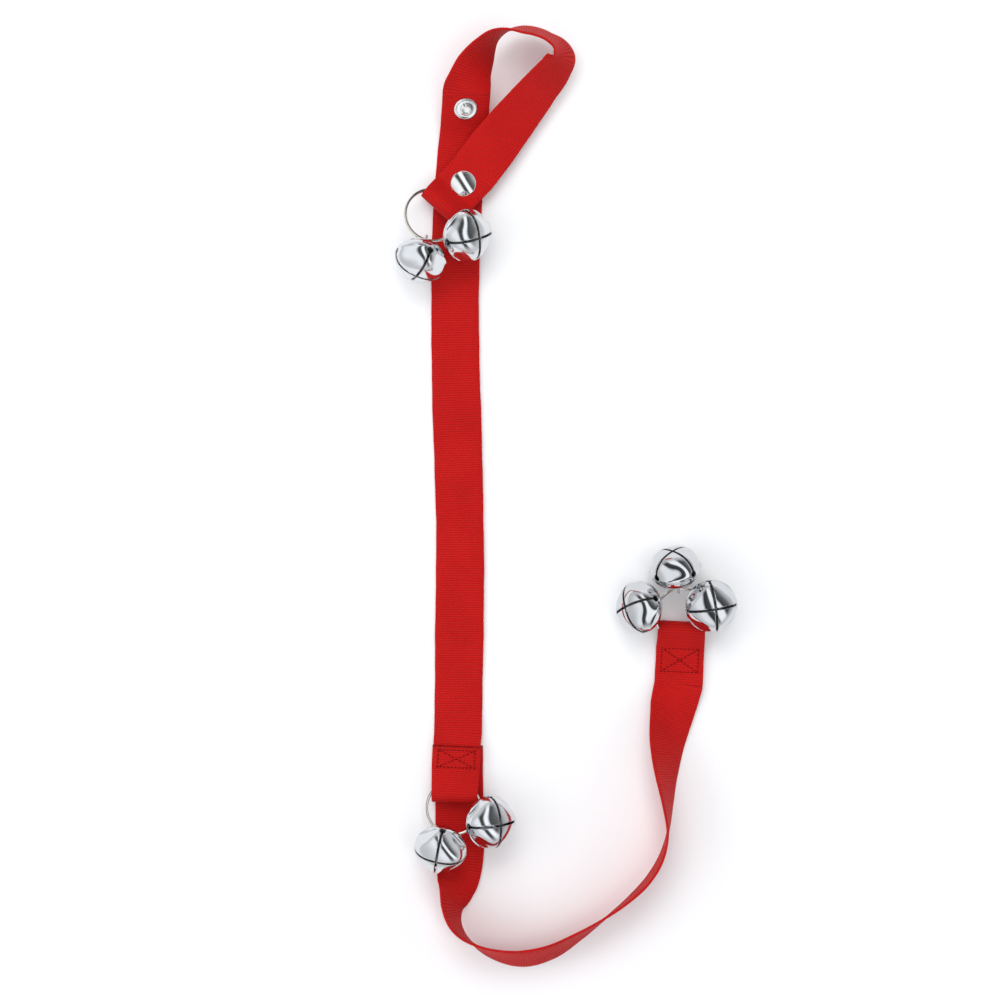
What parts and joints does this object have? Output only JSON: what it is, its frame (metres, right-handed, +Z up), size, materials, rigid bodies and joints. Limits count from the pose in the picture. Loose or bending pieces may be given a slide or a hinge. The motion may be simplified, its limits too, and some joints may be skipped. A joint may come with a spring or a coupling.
{
  "type": "jingle bell door strap",
  "caption": "Webbing strap with a snap handle loop and bells hung on split rings, to hang from a door handle or shake.",
  "frame": {"origin": "middle of the laid-out strap, on the surface it lies on", "axes": "+Y along the strap towards the handle loop, +Z up, +X towards the end bells"},
  "size_m": [0.1757, 0.4873, 0.0344],
  "materials": {
    "webbing_red": "woven red nylon webbing, matt with a faint sheen",
    "thread_red": "twisted red polyester thread",
    "ring_steel": "nickel-plated spring wire",
    "snap_steel": "nickel-plated, polished",
    "bell_silver": "bright nickel plate, mirror polished",
    "pellet_steel": "plain tumbled steel"
  },
  "bodies": {
    "main_strap": {"upper_strap": "webbing_red", "lower_strap": "webbing_red", "snap_stud": "snap_steel", "snap_stud_post": "snap_steel", "spare_stud": "snap_steel", "spare_stud_post": "snap_steel", "middle_stitching": "thread_red"},
    "loop_tail": {"loop_tail_strap": "webbing_red", "snap_cap": "snap_steel", "snap_socket": "snap_steel", "snap_socket_spring": "snap_steel"},
    "strap_leg": {"lower_strap_leg": "webbing_red", "end_stitching": "thread_red"},
    "top_ring": {"top_ring": "ring_steel"},
    "middle_ring": {"middle_ring": "ring_steel"},
    "end_ring": {"end_ring": "ring_steel"},
    "bell_1": {"bell_1_shell": "bell_silver", "bell_1_shank": "bell_silver"},
    "pellet_1": {"bell_1_pellet": "pellet_steel"},
    "bell_2": {"bell_2_shell": "bell_silver", "bell_2_shank": "bell_silver"},
    "pellet_2": {"bell_2_pellet": "pellet_steel"},
    "bell_3": {"bell_3_shell": "bell_silver", "bell_3_shank": "bell_silver"},
    "pellet_3": {"bell_3_pellet": "pellet_steel"},
    "bell_4": {"bell_4_shell": "bell_silver", "bell_4_shank": "bell_silver"},
    "pellet_4": {"bell_4_pellet": "pellet_steel"},
    "bell_5": {"bell_5_shell": "bell_silver", "bell_5_shank": "bell_silver"},
    "pellet_5": {"bell_5_pellet": "pellet_steel"},
    "bell_6": {"bell_6_shell": "bell_silver", "bell_6_shank": "bell_silver"},
    "pellet_6": {"bell_6_pellet": "pellet_steel"},
    "bell_7": {"bell_7_shell": "bell_silver", "bell_7_shank": "bell_silver"},
    "pellet_7": {"bell_7_pellet": "pellet_steel"}
  },
  "joints": [
    {"name": "snap_open", "type": "hinge", "parent": "main_strap", "child": "loop_tail", "pos_m": [-0.003, 0.2275, 0.0029], "axis": [-0.77, 0.638, 0], "range_deg": [0, 50]},
    {"name": "strap_bend", "type": "hinge", "parent": "main_strap", "child": "strap_leg", "pos_m": [-0.0562, -0.2213, 0], "axis": [0, 0, 1], "range_deg": [-20, 12]},
    {"name": "top_ring_tilt", "type": "hinge", "parent": "loop_tail", "child": "top_ring", "pos_m": [-0.06039, 0.15497, 0.0065], "axis": [-0.7317, 0.6816, 0], "range_deg": [-2.5, 1.5]},
    {"name": "middle_ring_tilt", "type": "hinge", "parent": "main_strap", "child": "middle_ring", "pos_m": [-0.0578, -0.1471, 0.0038], "axis": [-0.999, 0.0449, 0], "range_deg": [-1.5, 1.5]},
    {"name": "end_ring_tilt", "type": "hinge", "parent": "strap_leg", "child": "end_ring", "pos_m": [0.05936, -0.07409, 0.0025], "axis": [0.999, -0.0449, 0], "range_deg": [-6, 1.5]},
    {"name": "bell_1_swing", "type": "hinge", "parent": "top_ring", "child": "bell_1", "pos_m": [-0.05863, 0.13669, 0.00976], "axis": [-0.5921, -0.7635, 0.2578], "range_deg": [-3, 6.5]},
    {"name": "pellet_1_bounce", "type": "slide", "parent": "bell_1", "child": "pellet_1", "axis": [0, 0, 1], "range_m": [0, 0.0089]},
    {"name": "bell_2_swing", "type": "hinge", "parent": "top_ring", "child": "bell_2", "pos_m": [-0.07276, 0.13218, 0.01323], "axis": [-0.9552, 0.27, 0.1215], "range_deg": [-3, 8]},
    {"name": "pellet_2_bounce", "type": "slide", "parent": "bell_2", "child": "pellet_2", "axis": [0, 0, 1], "range_m": [0, 0.0128]},
    {"name": "bell_3_swing", "type": "hinge", "parent": "middle_ring", "child": "bell_3", "pos_m": [-0.06233, -0.17352, 0.00945], "axis": [-0.9587, 0.28, -0.0503], "range_deg": [-1, 8]},
    {"name": "pellet_3_bounce", "type": "slide", "parent": "bell_3", "child": "pellet_3", "axis": [0, 0, 1], "range_m": [0, 0.0084]},
    {"name": "bell_4_swing", "type": "hinge", "parent": "middle_ring", "child": "bell_4", "pos_m": [-0.04575, -0.166, 0.0077], "axis": [-0.3991, -0.8961, 0.1941], "range_deg": [-3, 8]},
    {"name": "pellet_4_bounce", "type": "slide", "parent": "bell_4", "child": "pellet_4", "axis": [0, 0, 1], "range_m": [0, 0.0082]},
    {"name": "bell_5_swing", "type": "hinge", "parent": "end_ring", "child": "bell_5", "pos_m": [0.05769, -0.04728, 0.00818], "axis": [0.9863, 0.1592, 0.0432], "range_deg": [-3, 8]},
    {"name": "pellet_5_bounce", "type": "slide", "parent": "bell_5", "child": "pellet_5", "axis": [0, 0, 1], "range_m": [0, 0.0126]},
    {"name": "bell_6_swing", "type": "hinge", "parent": "end_ring", "child": "bell_6", "pos_m": [0.04654, -0.05742, 0.00592], "axis": [0.2338, 0.9506, 0.2041], "range_deg": [-3, 8]},
    {"name": "pellet_6_bounce", "type": "slide", "parent": "bell_6", "child": "pellet_6", "axis": [0, 0, 1], "range_m": [0, 0.0101]},
    {"name": "bell_7_swing", "type": "hinge", "parent": "end_ring", "child": "bell_7", "pos_m": [0.0722, -0.0544, 0.0068], "axis": [0.4614, -0.8687, -0.1801], "range_deg": [-3, 8]},
    {"name": "pellet_7_bounce", "type": "slide", "parent": "bell_7", "child": "pellet_7", "axis": [0, 0, 1], "range_m": [0, 0.0082]}
  ]
}
